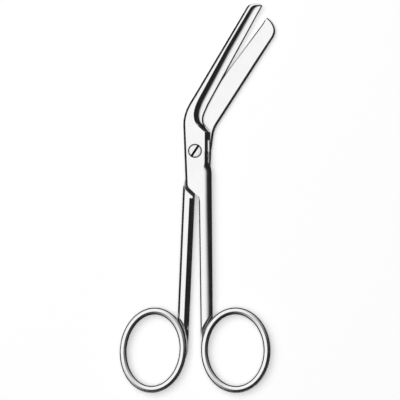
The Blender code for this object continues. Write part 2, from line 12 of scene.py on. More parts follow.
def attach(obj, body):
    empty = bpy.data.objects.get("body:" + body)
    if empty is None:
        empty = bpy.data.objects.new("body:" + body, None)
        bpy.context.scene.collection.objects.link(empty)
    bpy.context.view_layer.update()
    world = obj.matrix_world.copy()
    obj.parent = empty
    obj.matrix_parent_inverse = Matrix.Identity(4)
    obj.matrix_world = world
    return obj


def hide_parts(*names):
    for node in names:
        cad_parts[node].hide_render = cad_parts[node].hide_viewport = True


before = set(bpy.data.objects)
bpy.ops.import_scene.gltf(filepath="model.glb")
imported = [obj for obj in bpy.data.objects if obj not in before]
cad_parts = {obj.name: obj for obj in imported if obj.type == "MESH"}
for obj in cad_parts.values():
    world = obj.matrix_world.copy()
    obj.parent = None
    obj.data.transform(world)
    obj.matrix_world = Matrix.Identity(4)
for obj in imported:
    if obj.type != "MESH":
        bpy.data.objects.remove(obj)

# Thicknesses, measured from the meeting plane to a half's outer face
JOINT_DEPTH = 0.00215
BLADE_TIP_DEPTH = 0.0012
TIP_END_DEPTH = 0.00075
SHANK_END_DEPTH = 0.00195
MEETING_GAP = 0.0001

# Blade section
BEVEL_ROOT_DEPTH = 0.0008
BEVEL_TIP_DEPTH = 0.0005
HONED_WIDTH = 0.00052
HONED_ROOT_DEPTH = 0.00045
HONED_TIP_DEPTH = 0.0003
HOLLOW_STEEPNESS = 0.9
HEEL_STEEPNESS = 0.64
HEEL_LIFT = 0.0003
HEEL_LIFT_START = 0.0041
HOLLOWNESS_LIMIT = 2.8
INNER_HOLLOW_DEPTH = 0.0001
INNER_EDGE_LAND = 0.0011
INNER_HONED_WIDTH = 0.0006
INNER_HONED_SLOPE = 0.73
INNER_HONED_SHARE = 0.55
INNER_HONED_SOFTNESS = 0.12
INNER_HONING_FADE = (3 * INNER_HONED_WIDTH, 5 * INNER_HONED_WIDTH)
END_WIDTH_MOST = 0.2
TIP_LAND = 0.0013

# Joint and shank section
RIM_WIDTH = 0.002
JOINT_RIM_MOST = 0.4
SHANK_RIM_MOST = 0.75
JOINT_RIM_DEPTH = 0.00075
JOINT_RIM_KNEE = (0.67, 0.572)
JOINT_LEAD_WIDTH = 0.001
JOINT_LEAD_DROP = 0.00011
SHANK_RIM_DEPTH = 0.00125
SHANK_RIM_WIDTH = 0.0035
SHANK_RIM_ROUNDNESS = 2.0
RIM_EDGE_BREAK = 0.0003
RIM_EDGE_BREAK_DEPTH = 0.00025
EDGE_BREAK = 0.0008
EDGE_BREAK_DEPTH = 0.00067
EDGE_BREAK_MOST = 0.45
DIAGONAL_BREAK = 0.0002
SHANK_INNER_BREAK = 0.0005
SHOULDER_BREAK = 0.0004
EDGE_BREAK_ROUNDNESS = 1.1
EDGE_BREAKS_ACROSS = 5
LAP_BREAK_SOFTNESS = 0.2
EDGE_SHARE = 0.2
INNER_FACET_WIDTH = 0.002
INNER_FACET_MOST = 0.45
INNER_FACET_STEEPEST = 0.85
INNER_FACET_WALL = 0.0009
INNER_FACET_END_WALL = 0.0004
FACET_RUN_IN = 0.0004
FACET_MARGIN = 0.0002
JOINT_TAPER = 0.04
DIAGONAL_ANGLE = radians(43.0)
SHOULDER_CLEARANCE = 0.0011
LAP_MARGIN = 0.002
SHOULDER_STEP_REACH = 0.00002
LAP_EDGE_BREAK_RUN_IN = 0.0004
LAP_CLOSEST_STATIONS = 0.00004
NECK_Y = -0.0172
SHANK_THINNING_START_Y = -0.010
SHANK_THINNING_END_Y = -0.061

# Heel of the blade
HEEL_RUN = 0.0041
HEEL_UNDERCUT = 0.00038
HEEL_UNDERCUT_AT = 0.006
HEEL_UNDERCUT_REACH = 0.0048
SCOOP_RUN = 0.0105
SCOOP_EASE = 1.6

# Shanks and rings
BEND_RADIUS = 0.020
FRONT_SHANK_INNER_X = 0.0014
SHANK_GAP = 0.00145
RING_GAP = 0.00535
FRONT_RING_NEAR_X = 0.0022
RING_CENTRE_Y = -0.0742
RING_HALF_LENGTH = 0.0146
RING_BAND_WIDTH = 0.00265
RING_BAND_THICKNESS = 0.0041
RING_CROWN_SLOPES = ((0.05, 0.05, 0.292), (0.71, 0.04, 0.58))
RING_CROWN_STEPS = (0, 0.025, 0.05, 0.075, 0.1, 0.25, 0.4, 0.55, 0.67, 0.69, 0.71, 0.73, 0.75, 0.87, 1)
RING_CORNER = 0.00006
RING_DIP = 0.00075
RING_DIP_REACH = 0.0016
RING_DIP_EASE = 1.5
RING_DIP_LEAST = 0.00025
RING_TUCK_REACH = 0.0139
RING_BLEND_ABOVE = 0.001
RING_BLEND_BELOW = 0.0058
RING_BLEND_INSET = 0.00035

# Joint screw
SCREW_HEAD_RADIUS = 0.00245
SCREW_HEAD_LAND = 0.0005
SCREW_HEAD_CROWN = 0.00016
SCREW_HEAD_CONE = 0.0007
SCREW_NECK_RADIUS = 0.0016
SCREW_THREAD_RADIUS = 0.0014
SCREW_SLOT_WIDTH = 0.00088
SCREW_SLOT_DEPTH = 0.0009
SCREW_SLOT_ANGLE = radians(-33.7)
SCREW_CLEARANCE = 0.00005
SCREW_MOUTH_WIDTH = 0.00014
SCREW_MOUTH_DEPTH = 0.00012
SCREW_HEAD_BREAK = 0.0004
SCREW_HEAD_BREAK_DEPTH = 0.00034
SCREW_SLOT_RISE = 0.0005

# Softness of the polished edges, and the shading of the finished surfaces
RIDGE_SOFTNESS = 0.00006
RIDGE_SOFTNESS_MOST = 0.04
RIDGE_KERNEL_POINTS = 9
SEAM_CLEANING = 0.000005
FLATNESS_LIMIT = radians(0.5)
SHARP_ANGLE = radians(30.0)
SCREW_SHARP_ANGLE = radians(28.0)
SCREW_EDGE_BEVEL = 0.000035
SCREW_EDGE_ANGLE = radians(40.0)
LEVEL_FACE = 0.99998
FLAT_WEIGHT = 60

# Fineness of the surfaces
STATION_STEP = 0.0004
STATION_LEAST = 0.000012
HEEL_STATION = 0.00005
TIP_STATIONS = 40
TIP_LAST_ANGLE = radians(88.8)
LEAN_STEP = 0.0000002
BEVEL_STEPS = 26
RING_STEPS = 260
RING_TURN_STEP = 0.001
SCREW_STEPS = 144
SCREW_CROWN_STEPS = 16
HOLLOW_STEPS = 20
LAP_BREAK_SHARES = (0.3, 0.6, 0.8, 0.9, 1.0, 1.1, 1.2, 1.4)
LAP_BREAK_DISTANCES = [LAP_MARGIN] + [-EDGE_BREAK * share for share in LAP_BREAK_SHARES]
LAP_HONED_SHARES = (1.8, 1.3, 1.12, 1.0, 0.88, 0.6, 0.3, 0.0)
LAP_POINTS = len(LAP_BREAK_DISTANCES) + HOLLOW_STEPS + len(LAP_HONED_SHARES) + 1

# View: the photograph looks straight down on the scissors
FRAME_WIDTH = 0.1492
FRAME_CENTRE = (0.00187, -0.01828)
CAMERA_LENS = 200.0
CAMERA_SENSOR = 36.0

# Steel: two tints that the polishing marks run between, and painted shade: near-black, duller steel in the
# crevices that ambient occlusion finds
STEEL_TINTS = ((0.79, 0.79, 0.80, 1), (0.83, 0.83, 0.83, 1))
SCREW_TINTS = ((0.78, 0.78, 0.785, 1), (0.84, 0.84, 0.84, 1))
GROUND_RUN_IN = 0.00015
PAINTED_SHADE_COLOR = (0.035, 0.033, 0.031, 1)
CREVICE_SHADE_ROUGHNESS = 0.5
PAINTED_SHADE_REACH = 0.0022

# Light: a large softbox overhead that leans to the upper left, in a dark room. The lamp in it isn't mirrored.
SOFTBOX_AXIS = (-0.237, 0.17, 0.956)
SOFTBOX_BRIGHT_TO = radians(25.0)
SOFTBOX_DARK_FROM = radians(52.0)
SOFTBOX_LEVEL = 1.14
ROOM_LEVEL = 0.02
LAMP_PLACE = (-0.32, 0.24, 0.80)
LAMP_SIZE = 0.6
LAMP_POWER = 1.5
FLOOR_GLOW = 0.42
FLOOR_SIZE = 6.0
FLOOR_COLOR = (0.93, 0.93, 0.93, 1)


def clamp(value, low=0.0, high=1.0):
    return max(low, min(high, value))


def smooth(start, end, value):
    """0 at start, 1 at end, with level ends. start may lie above end."""
    t = clamp((value - start) / (end - start))
    return t * t * (3 - 2 * t)


def mix(a, b, share):
    return a + (b - a) * share


def spread(start, end, steps):
    return [mix(start, end, i / steps) for i in range(steps + 1)]


@dataclass(frozen=True)
class Ring:
    """A finger ring's centre line: an ellipse whose top leans towards the other half."""

    x: float
    y: float
    half_width: float
    half_length: float
    tilt: float

    def point(self, turn):
        across, along = self.half_width * cos(turn), self.half_length * sin(turn)
        return (
            self.x + across * cos(self.tilt) - along * sin(self.tilt),
            self.y + across * sin(self.tilt) + along * cos(self.tilt),
        )

    def grown(self, by):
        return Ring(self.x, self.y, self.half_width + by, self.half_length + by, self.tilt)

    def near_side(self, y):
        """The X of the ellipse at a height, on the side of the other half."""
        dy = y - self.y
        c, s = cos(self.tilt), sin(self.tilt)
        wide, long = self.half_width**-2, self.half_length**-2
        a = c * c * wide + s * s * long
        b = 2 * dy * s * c * (wide - long)
        d = dy * dy * (s * s * wide + c * c * long) - 1
        return self.x - (b + sqrt(max(0.0, b * b - 4 * a * d))) / (2 * a)


def ring_beside(near_x, half_width, tilt):
    """A ring whose band's nearest side, level with the ring's centre, lies at near_x."""
    at_origin = Ring(0.0, RING_CENTRE_Y, half_width, RING_HALF_LENGTH, tilt)
    reach = at_origin.grown(RING_BAND_WIDTH / 2).near_side(RING_CENTRE_Y)
    return Ring(near_x - reach, RING_CENTRE_Y, half_width, RING_HALF_LENGTH, tilt)


@dataclass(frozen=True)
class Half:
    """One half, in a frame of its own: outer face up, ring at -Y, spine at -X, cutting edge at +X."""

    name: str
    bend_start: float
    bend_angle: float
    blade_length: float
    spine_lag: float
    root_spine: float
    root_edge: float
    tip_spine: float
    tip_edge: float
    tip_rounding: float
    bevel_width: float
    joint_spine: float
    joint_edge: float
    heel_at: float
    diagonal_y: float
    swell_start: float
    swell_end: float
    shank_inner_x: float
    shank_top_width: float
    shank_end_width: float
    shank_proud: float
    ring: Ring

    @property
    def bend_end(self):
        return self.bend_start + BEND_RADIUS * abs(self.bend_angle)

    @property
    def tip(self):
        return self.bend_end + self.blade_length

    @property
    def end(self):
        return self.ring.y - RING_BLEND_BELOW

    def centre_line(self, s):
        side = 1 if self.bend_angle > 0 else -1
        turn = clamp((s - self.bend_start) / BEND_RADIUS, 0.0, abs(self.bend_angle))
        x = BEND_RADIUS * (1 - cos(turn))
        y = min(s, self.bend_start) + BEND_RADIUS * sin(turn)
        straight = max(0.0, s - self.bend_end)
        x += straight * sin(turn)
        y += straight * cos(turn)
        return side * x, y, side * turn

    def place(self, s, offset):
        x, y, heading = self.centre_line(s)
        return x + offset * cos(heading), y - offset * sin(heading)

    def offset_of_line(self, s, line_x):
        x, _, heading = self.centre_line(s)
        return (line_x - x) / cos(heading)

    def joint_side(self, s):
        return -self.joint_spine - JOINT_TAPER * s

    def shank_inner(self, s):
        ring_x = self.ring.grown(RING_BAND_WIDTH / 2).near_side(self.ring.y) - self.shank_proud
        return mix(self.shank_inner_x, ring_x, (s - NECK_Y) / (self.ring.y - NECK_Y))

    def shank_outer(self, s):
        share = (s - NECK_Y) / (self.ring.y - NECK_Y)
        return self.shank_inner(s) + mix(self.shank_top_width, self.shank_end_width, share)

    def diagonal(self, s):
        return self.joint_side(self.diagonal_y) + (self.diagonal_y - s) / tan(DIAGONAL_ANGLE)

    def neck(self):
        across = self.shank_inner(NECK_Y) - self.joint_side(self.diagonal_y)
        return self.diagonal_y - across * tan(DIAGONAL_ANGLE)

    def shoulder(self, mate, x):
        mate_corner = -mate.joint_side(mate.diagonal_y)
        drop = SHOULDER_CLEARANCE / cos(DIAGONAL_ANGLE)
        return mate.diagonal_y - drop + (x - mate_corner) * tan(DIAGONAL_ANGLE)

    def facet_start(self, mate):
        return min(self.neck(), self.shoulder(mate, self.shank_inner(NECK_Y))) - FACET_MARGIN

    def ring_blend(self, s):
        return smooth(self.ring.y + RING_BLEND_ABOVE, self.end, s)

    def tip_fullness(self, s):
        into_tip = clamp(1 - (self.tip - s) / self.tip_rounding)
        return sqrt(1 - into_tip * into_tip)

    def spine_side(self, s):
        if s < self.diagonal_y:
            side = min(self.diagonal(s), self.shank_inner(s))
            ring_side = self.ring.grown(RING_BAND_WIDTH / 2 - RING_BLEND_INSET).near_side(s)
            return mix(side, ring_side, self.ring_blend(s))
        share = (s - self.bend_end) / self.blade_length
        blade = -mix(self.root_spine, self.tip_spine, share)
        blend = smooth(self.bend_start + self.spine_lag, self.bend_end + self.spine_lag, s)
        side = mix(self.joint_side(s), blade, blend)
        if s > self.tip - self.tip_rounding:
            side = self.edge_side(s) - (self.tip_edge - side) * self.tip_fullness(s)
        return side

    def edge_side(self, s):
        if s < self.heel_at:
            joint = self.offset_of_line(s, self.joint_edge)
            swelling = smooth(self.swell_start, self.swell_end, s)
            side = mix(joint, self.shank_outer(s), swelling)
            if s < self.ring.y + RING_TUCK_REACH:
                side = min(side, self.ring.near_side(s))
            return side
        blade = mix(self.root_edge, self.tip_edge, (s - self.bend_end) / self.blade_length)
        from_undercut = abs(s - self.heel_at - HEEL_UNDERCUT_AT) / HEEL_UNDERCUT_REACH
        blade -= HEEL_UNDERCUT * smooth(1.0, 0.0, from_undercut)
        corner = self.offset_of_line(self.heel_at, self.joint_edge)
        return mix(corner, blade, sin(clamp((s - self.heel_at) / HEEL_RUN) * pi / 2))

    def ridge(self, s):
        left, right = self.spine_side(s), self.edge_side(s)
        width = right - left
        swelling = smooth(self.swell_start, self.swell_end, s)
        most = mix(JOINT_RIM_MOST, SHANK_RIM_MOST, swelling) * width
        rim = right - min(mix(RIM_WIDTH, SHANK_RIM_WIDTH, swelling), most)
        if s < self.heel_at:
            return rim
        blade = max(right - self.bevel_width, left + min(TIP_LAND, 0.5 * width))
        scoop_end = self.heel_at + SCOOP_RUN
        return mix(blade, rim, clamp((scoop_end - s) / SCOOP_RUN) ** SCOOP_EASE)

    def depth(self, s):
        if s < SHANK_THINNING_START_Y:
            thinning = smooth(SHANK_THINNING_START_Y, SHANK_THINNING_END_Y, s)
            return mix(JOINT_DEPTH, SHANK_END_DEPTH, thinning) - RING_BLEND_INSET * self.ring_blend(s)
        share = clamp((s - self.heel_at) / (self.tip - self.heel_at))
        blade = mix(JOINT_DEPTH, BLADE_TIP_DEPTH, share)
        return mix(TIP_END_DEPTH, blade, self.tip_fullness(s))

    def edge_break(self, s):
        """How wide an edge is broken: less where the piece is thin or narrow."""
        width = self.edge_side(s) - self.spine_side(s)
        return min(EDGE_BREAK * self.break_share(s), width / EDGE_BREAKS_ACROSS)

    def break_share(self, s):
        """Share of the full break that the thickness allows."""
        return min(1.0, EDGE_BREAK_MOST * self.depth(s) / EDGE_BREAK_DEPTH)

    def spine_break(self, s):
        """How wide the outer face's edge is broken on the spine side, less along the diagonal and shank."""
        if s > self.diagonal_y:
            return self.edge_break(s)
        if s > self.neck():
            return mix(self.edge_break(s), DIAGONAL_BREAK, (self.diagonal_y - s) / EDGE_BREAK)
        return mix(DIAGONAL_BREAK, SHANK_INNER_BREAK, smooth(self.neck(), self.neck() - RIM_WIDTH, s))

    def end_width(self, s):
        """Width of the honed edge on the blade, and of the rim's broken edge behind it."""
        blade = smooth(self.heel_at, self.heel_at + HEEL_RUN, s)
        width = self.edge_side(s) - self.spine_side(s)
        return min(mix(RIM_EDGE_BREAK, HONED_WIDTH, blade), END_WIDTH_MOST * width)

    def facet_width(self, s):
        return min(INNER_FACET_WIDTH, INNER_FACET_MOST * (self.edge_side(s) - self.spine_side(s)))

    def beside_ring(self, s):
        return s < self.ring.y + self.ring.half_length + RING_BAND_WIDTH

    def band_side(self, s):
        return self.ring.grown(RING_BAND_WIDTH / 2).near_side(s)

    def ring_dip(self, s, u):
        """How far the shank's faces dip towards the ring's band, which stands proud of them."""
        if not self.beside_ring(s):
            return 0.0 * u
        away = self.band_side(s) - u
        return RING_DIP * np.clip(1 - away / RING_DIP_REACH, 0, 1) ** RING_DIP_EASE

    def rim_fall(self, s, across, swelling):
        """The rim's fall as a share of its depth: two slopes on the joint, round on the shank."""
        knee_at, knee_drop = JOINT_RIM_KNEE
        joint_rim = np.where(
            across < knee_at,
            across / knee_at * knee_drop,
            knee_drop + (across - knee_at) / (1 - knee_at) * (1 - knee_drop),
        )
        joint_rim = mix(joint_rim, across, smooth(HEEL_LIFT_START - RIM_EDGE_BREAK, HEEL_LIFT_START, s))
        return mix(joint_rim, across**SHANK_RIM_ROUNDNESS, swelling)

    def outer_height(self, s, u):
        """Height of the outer face at an offset u: broken edge, flat, then the rim or the hollow bevel."""
        left, right, ridge, depth = self.spine_side(s), self.edge_side(s), self.ridge(s), self.depth(s)
        blade = smooth(self.heel_at, self.heel_at + HEEL_RUN, s)
        swelling = smooth(self.swell_start, self.swell_end, s)
        break_width = self.spine_break(s)
        into = np.clip((u - left) / break_width, 0, 1)
        broken = depth - EDGE_BREAK_DEPTH * (break_width / EDGE_BREAK) * (1 - into) ** EDGE_BREAK_ROUNDNESS
        end_width = self.end_width(s)
        bevel_end = right - end_width
        across = np.clip((u - ridge) / (bevel_end - ridge), 0, 1)
        rim = self.rim_fall(s, across, swelling)
        rim_depth = mix(JOINT_RIM_DEPTH, SHANK_RIM_DEPTH, swelling)
        along = clamp((s - self.heel_at) / (self.tip - self.heel_at))
        low = mix(rim_depth, mix(BEVEL_ROOT_DEPTH, BEVEL_TIP_DEPTH, along), blade)
        edge = mix(rim_depth - RIM_EDGE_BREAK_DEPTH, mix(HONED_ROOT_DEPTH, HONED_TIP_DEPTH, along), blade)
        lift = HEEL_LIFT * smooth(HEEL_LIFT_START, self.heel_at, s) * (1 - blade)
        low, edge = low + lift, edge + lift
        steepness = mix(HEEL_STEEPNESS, HOLLOW_STEEPNESS, blade)
        hollowness = clamp(steepness * (bevel_end - ridge) / (depth - low), 1.0, HOLLOWNESS_LIMIT)
        hollow = 1 - (1 - across) ** hollowness
        lead_fade = smooth(JOINT_LEAD_WIDTH, -JOINT_LEAD_WIDTH, s) * (1 - swelling)
        lead = JOINT_LEAD_DROP * lead_fade * np.clip((u - ridge) / JOINT_LEAD_WIDTH + 1, 0, 1) ** 2
        bevel = depth - lead - (depth - low - JOINT_LEAD_DROP * lead_fade) * mix(rim, hollow, blade)
        honed = mix(low, edge, np.clip((u - bevel_end) / end_width, 0, 1))
        height = np.where(u > bevel_end, honed, np.minimum(broken, bevel))
        return np.maximum(height - self.ring_dip(s, u), RING_DIP_LEAST * (s < self.swell_end))

    def mate_height(self, s, u, facet_start):
        """Depth of the face towards the other half: the facet along the shank, and a broken outer edge."""
        left, right, depth = self.spine_side(s), self.edge_side(s), self.depth(s)
        break_width = self.edge_break(s)
        drop = EDGE_BREAK_DEPTH * (break_width / EDGE_BREAK)
        facet_width, facet_wall = break_width, depth - drop
        if s <= facet_start:
            along = clamp((facet_start - s) / (facet_start - self.ring.y))
            low = mix(INNER_FACET_WALL, INNER_FACET_END_WALL, along)
            run_in = smooth(facet_start, facet_start - FACET_RUN_IN, s)
            facet_width = self.facet_width(s)
            low = max(low, depth - INNER_FACET_STEEPEST * facet_width)
            facet_wall = mix(depth, low, run_in)
        inner = mix(facet_wall, depth, np.clip((u - left) / facet_width, 0, 1))
        outer = depth - drop * np.clip(1 - (right - u) / break_width, 0, 1) ** EDGE_BREAK_ROUNDNESS
        height = np.minimum(inner, outer) - self.ring_dip(s, u)
        return np.maximum(height, RING_DIP_LEAST * (s < self.swell_end))

    def section(self, s, facet_start):
        """Points round a section, over the outer face and back along the face towards the other half."""
        left, right, ridge = self.spine_side(s), self.edge_side(s), self.ridge(s)
        width = right - left
        break_width, spine_break = self.edge_break(s), self.spine_break(s)
        bevel_end = right - self.end_width(s)
        facet_end = left + self.facet_width(s)
        soft = min(RIDGE_SOFTNESS, 0.2 * min(break_width, spine_break), RIDGE_SOFTNESS_MOST * width)
        around = np.array([-1.5, -0.75, 0.0, 0.75, 1.5]) * soft
        knee = mix(ridge, bevel_end, JOINT_RIM_KNEE[0])
        places = [left + spine_break * share for share in (0.0, 0.25, 0.5, 0.75)]
        places += list(left + spine_break + around) + list(facet_end + around)
        places += [right - break_width * share for share in (0.6, 0.8)]
        places += list(right - break_width + around[1:4])
        places += spread(left + spine_break + 2.5 * soft, facet_end - 2.5 * soft, 4)
        places += spread(facet_end + 2.5 * soft, ridge - 2.5 * soft, 5) + list(ridge + around)
        bevel_start, last = ridge + 2.5 * soft, bevel_end - 2 * soft
        places += [mix(bevel_start, last, sin(a)) for a in spread(0, pi / 2, BEVEL_STEPS)]
        band = min(self.band_side(s), right) if self.beside_ring(s) else right
        places += [band - RING_DIP_REACH * share for share in (1.05, 0.8, 0.6, 0.4, 0.2, 0.0)]
        places += [ridge - JOINT_LEAD_WIDTH * share for share in (0.9, 0.6, 0.3)]
        places += [knee - soft, knee, knee + soft] + list(bevel_end + around[1:4])
        places += [mix(bevel_end, right, share) for share in (0.33, 0.66, 1.0)]
        places = np.sort(np.clip(np.array(places), left, right))
        places += np.arange(len(places)) * 1e-9
        kernel = np.linspace(-1, 1, RIDGE_KERNEL_POINTS) * soft
        weight = np.exp(-2 * (kernel / soft) ** 2)
        weight /= weight.sum()
        spots = places[:, None] + kernel[None, :]
        keep = np.clip(np.minimum(places - left, right - places) / (1.2 * soft), 0, 1)
        sharp = self.outer_height(s, places)
        upper = sharp * (1 - keep) + (self.outer_height(s, spots) * weight).sum(1) * keep
        sharp = self.mate_height(s, places, facet_start)
        lower = sharp * (1 - keep) + (self.mate_height(s, spots, facet_start) * weight).sum(1) * keep
        top = list(zip(places.tolist(), upper.tolist()))
        return top + [(u, -z) for u, z in zip(places.tolist()[::-1], lower.tolist()[::-1])]

    def stations(self, facet_start):
        """Distances along the centre line, close together where the outline turns."""
        tip_start = self.tip - self.tip_rounding
        marks = [self.end, facet_start - FACET_RUN_IN, facet_start, facet_start + FACET_MARGIN]
        marks += [self.neck(), self.diagonal_y, self.heel_at, self.heel_at + HEEL_RUN, tip_start]
        marks.sort()
        found = []
        for low, high in zip(marks, marks[1:]):
            found += spread(low, high, max(4, round((high - low) / STATION_STEP)))
        found += [tip_start + self.tip_rounding * sin(a) for a in spread(0, TIP_LAST_ANGLE, TIP_STATIONS)]
        found.append(self.heel_at + HEEL_STATION)
        kept = []
        for s in sorted(found):
            if not kept or s - kept[-1] > STATION_LEAST:
                kept.append(s)
        return kept


def closed_mesh(name, sections):
    """A mesh through closed sections, each over its top and back along its bottom, point below point."""
    n = len(sections[0])
    faces = []
    for i in range(len(sections) - 1):
        for j in range(n):
            k = (j + 1) % n
            faces.append((i * n + j, i * n + k, (i + 1) * n + k, (i + 1) * n + j))
    for start in (0, (len(sections) - 1) * n):
        for j in range(n // 2 - 1):
            faces.append((start + j, start + j + 1, start + n - 2 - j, start + n - 1 - j))
    mesh = bpy.data.meshes.new(name)
    mesh.from_pydata([point for section in sections for point in section], [], faces)
    outward(mesh)
    return mesh


def outward(mesh):
    """Turns every face outwards."""
    work = bmesh.new()
    work.from_mesh(mesh)
    bmesh.ops.recalc_face_normals(work, faces=work.faces)
    work.to_mesh(mesh)
    work.free()


def forging(half, mate):
    """A half before its ring, its lap and its screw hole are made."""
    sections = []
    facet_start = half.facet_start(mate)
    for s in half.stations(facet_start):
        loop = half.section(s, facet_start)
        sections.append([(*half.place(s, offset), height) for offset, height in loop])
    return closed_mesh(half.name + "_forging", sections)


def band_section():
    """The ring band's section: crowned faces above and below, rounded corners, upright sides."""
    wide, high = RING_BAND_WIDTH / 2, RING_BAND_THICKNESS / 2
    corner = RING_CORNER
    top = []
    for share in RING_CROWN_STEPS:
        fall = sum(slope * wide * soft_step(share - start, soft) for start, soft, slope in RING_CROWN_SLOPES)
        top.append(((wide - corner) * share, high - fall))
    low = top[-1][1] - corner
    top += [(wide - corner * 0.35, low + corner * 0.75), (wide, low)]
    right = top + [(wide, low * share) for share in (0.5, 0.0, -0.5)] + [(u, -z) for u, z in reversed(top)]
    return right + [(-u, z) for u, z in reversed(right[1:-1])]


def finger_ring(half):
    """The band's section carried round the ring's centre line."""
    ring = half.ring
    section = band_section()
    work = bmesh.new()
    loops = []
    for i in range(RING_STEPS):
        turn = 2 * pi * i / RING_STEPS
        x, y = ring.point(turn)
        ahead, behind = ring.point(turn + RING_TURN_STEP), ring.point(turn - RING_TURN_STEP)
        run_x, run_y = ahead[0] - behind[0], ahead[1] - behind[1]
        size = sqrt(run_x * run_x + run_y * run_y)
        out_x, out_y = run_y / size, -run_x / size
        loops.append([work.verts.new((x + out_x * u, y + out_y * u, z)) for u, z in section])
    for i in range(RING_STEPS):
        here, there = loops[i], loops[(i + 1) % RING_STEPS]
        for j in range(len(section)):
            k = (j + 1) % len(section)
            work.faces.new((here[j], there[j], there[k], here[k]))
    mesh = bpy.data.meshes.new(half.name + "_band")
    work.to_mesh(mesh)
    work.free()
    outward(mesh)
    return mesh


def lap_cut(half, mate):
    """What is milled away on the inner side, down to the shoulder. Its upper surface hollows the inner face,
    breaks the edges of the spine, the tip and the shoulder, and hones the cutting edge."""
    start = half.swell_start / 2
    stations = [start + LAP_EDGE_BREAK_RUN_IN]
    for s in half.stations(half.facet_start(mate)):
        if s - stations[-1] > LAP_CLOSEST_STATIONS:
            stations.append(s)
    sections = shoulder_sections(half, mate)
    corner = (start, half.spine_side(start))
    sections.append(lap_section(half, corner, (0.0, -1.0), half.edge_side(start), 0.0))
    for low, high in zip(stations, stations[1:]):
        s = (low + high) / 2
        lean = (half.spine_side(s + LEAN_STEP) - half.spine_side(s - LEAN_STEP)) / (2 * LEAN_STEP)
        out = (lean / hypot(lean, 1), -1 / hypot(lean, 1))
        sections.append(lap_section(half, (s, half.spine_side(s)), out, half.edge_side(s), 1.0))
    edge = half.edge_side(half.tip)
    for beyond in (0.0, LAP_MARGIN):
        corner = (half.tip + beyond, edge + beyond)
        sections.append(lap_section(half, corner, (1.0, 0.0), edge + beyond + INNER_HONING_FADE[0], 1.0))
    return closed_mesh(half.name + "_lap", sections)


def lap_section(half, outline, out, edge, broken):
    """One section of the lap cut. outline is a distance and offset on the spine side or the tip, and out
    points away from the blade there. broken is 1 where the edge is broken and 0 where it isn't."""
    floor = MEETING_GAP / 2
    slope = EDGE_BREAK_DEPTH / EDGE_BREAK * broken
    share = half.break_share(outline[0])
    soft = LAP_BREAK_SOFTNESS * EDGE_BREAK * share
    top = []
    for distance in LAP_BREAK_DISTANCES:
        beyond = max(distance, distance * share)
        s, offset = outline[0] + out[0] * beyond, outline[1] + out[1] * beyond
        top.append((*half.place(s, offset), floor + slope * soft_step(beyond + EDGE_BREAK * share, soft)))
    hollow_start = half.heel_at + SCOOP_RUN
    hollow_end = half.tip - half.tip_rounding
    hollow = smooth(hollow_start, hollow_start + SCOOP_RUN, s)
    hollow *= 1 - smooth(hollow_end, half.tip - EDGE_BREAK, s)
    honing = broken * smooth(half.heel_at, half.heel_at + HEEL_RUN, s)
    honing *= smooth(*INNER_HONING_FADE, edge - offset)
    land = min(INNER_EDGE_LAND, EDGE_SHARE * (edge - offset))
    for across in spread(0, 1, HOLLOW_STEPS)[1:]:
        place = half.place(s, mix(offset + land, edge - land, across))
        top.append((*place, floor + INNER_HOLLOW_DEPTH * hollow * 4 * across * (1 - across)))
    width = min(INNER_HONED_WIDTH, INNER_HONED_SHARE * land)
    for share in LAP_HONED_SHARES:
        rise = soft_step(width * (1 - share), INNER_HONED_SOFTNESS * width) * INNER_HONED_SLOPE * honing
        top.append((*half.place(s, edge - width * share), floor + rise))
    rise = width + LAP_MARGIN
    top.append((*half.place(s, edge + LAP_MARGIN), floor + rise * INNER_HONED_SLOPE * honing))
    return over_and_under(top)


def soft_step(x, soft):
    """x where it is positive and 0 where it is negative, with a rounded corner."""
    if abs(x) >= soft:
        return max(x, 0.0)
    return (x + soft) ** 2 / (4 * soft)


def over_and_under(top):
    """A closed section of the lap cut: its upper side, and back well below the piece."""
    return top + [(x, y, -2 * JOINT_DEPTH) for x, y, _ in reversed(top)]


def shoulder_sections(half, mate):
    """The lap cut's end: the broken edge of the shoulder and its upright wall."""
    line = shoulder_line(half, mate)
    mouth = SHOULDER_BREAK / cos(DIAGONAL_ANGLE)
    sections = []
    for back, height, foot in (
        (2 * mouth, -JOINT_DEPTH - SHOULDER_BREAK, 2 * mouth),
        (0.0, SHOULDER_BREAK - JOINT_DEPTH, 0.0),
        (0.0, MEETING_GAP / 2, -mouth),
    ):
        top = [(x, y - back, height) for x, y in line]
        sections.append(top + [(x, y - foot, -2 * JOINT_DEPTH) for x, y in reversed(line)])
    return sections


def shoulder_line(half, mate):
    """The shoulder in plan. On the inner side of the shank it drops to the neck, clear of the other half."""
    inner = half.shank_inner(NECK_Y)
    xs = [-half.joint_spine - LAP_MARGIN]
    xs += spread(inner - LAP_MARGIN, inner - SHOULDER_STEP_REACH, 2)
    line = [(x, min(half.shoulder(mate, x), half.neck())) for x in xs]
    last_x = half.joint_edge + LAP_MARGIN
    for x in spread(inner + SHOULDER_STEP_REACH, last_x, LAP_POINTS - len(xs) - 1):
        line.append((x, half.shoulder(mate, x)))
    return line


def turned(name, profile, steps):
    """A solid turned round Z from (radius, height) points. The first and last points lie on the axis."""
    work = bmesh.new()
    foot = work.verts.new((0, 0, profile[0][1]))
    head = work.verts.new((0, 0, profile[-1][1]))
    rows = []
    for radius, height in profile[1:-1]:
        turns = [2 * pi * i / steps for i in range(steps)]
        rows.append([work.verts.new((radius * cos(a), radius * sin(a), height)) for a in turns])
    for i in range(steps):
        k = (i + 1) % steps
        work.faces.new((foot, rows[0][k], rows[0][i]))
        work.faces.new((head, rows[-1][i], rows[-1][k]))
        for low, high in zip(rows, rows[1:]):
            work.faces.new((low[i], low[k], high[k], high[i]))
    mesh = bpy.data.meshes.new(name)
    work.to_mesh(mesh)
    work.free()
    outward(mesh)
    return mesh


